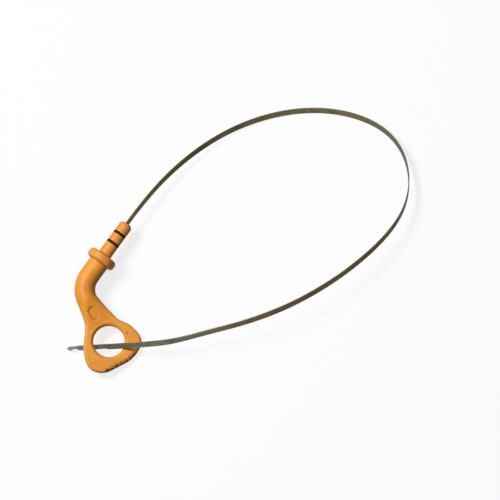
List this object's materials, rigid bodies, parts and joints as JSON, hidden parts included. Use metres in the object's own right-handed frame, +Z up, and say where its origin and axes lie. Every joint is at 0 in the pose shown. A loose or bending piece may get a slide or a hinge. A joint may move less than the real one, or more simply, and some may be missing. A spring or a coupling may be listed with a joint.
{
  "type": "engine oil dipstick",
  "caption": "Pull-out engine oil dipstick: moulded finger-ring handle with bent neck, flanged O-ring plug and a long flat spring-steel blade, looped and tucked through the ring.",
  "frame": {"origin": "middle of the object's box, on the surface that it lies on", "axes": "+Z up from that surface, +X along the longest side of the looped dipstick, from the handle towards the far side of the blade's loop"},
  "size_m": [0.2536, 0.1804, 0.0275],
  "materials": {
    "handle_plastic": "orange moulded plastic with a soft satin sheen",
    "seal_rubber": "smooth black oil-resistant rubber",
    "blade_steel": "dull spring-steel strip with a brownish oil film"
  },
  "bodies": {
    "root": {"handle": "handle_plastic", "o_ring_upper": "seal_rubber", "o_ring_lower": "seal_rubber", "blade": "blade_steel"}
  },
  "joints": []
}
